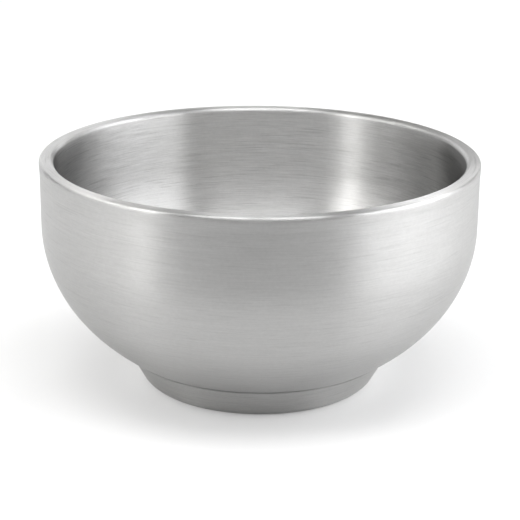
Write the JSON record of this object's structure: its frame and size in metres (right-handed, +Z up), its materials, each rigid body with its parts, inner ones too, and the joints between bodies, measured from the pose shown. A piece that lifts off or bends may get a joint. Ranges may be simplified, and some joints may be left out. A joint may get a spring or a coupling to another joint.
{
  "type": "shaving bowl",
  "caption": "Round double-walled steel bowl for working up shaving lather, with a broad flat rim and a leaning foot ring.",
  "frame": {"origin": "centre of the flat ring that the bowl stands on, at the level of the ground", "axes": "+Z up along the bowl's axis, out of its mouth; the bowl is the same all round, so +X and +Y are free"},
  "size_m": [0.115, 0.115, 0.0612],
  "materials": {
    "liner_steel": "satin, brushed round the bowl",
    "shell_steel": "satin, brushed round the bowl",
    "foot_steel": "satin, brushed round the bowl",
    "base_steel": "satin, turned in fine circles"
  },
  "bodies": {
    "root": {"inner_bowl": "liner_steel", "outer_shell": "shell_steel", "foot_ring": "foot_steel", "base_plate": "base_steel"}
  },
  "joints": []
}
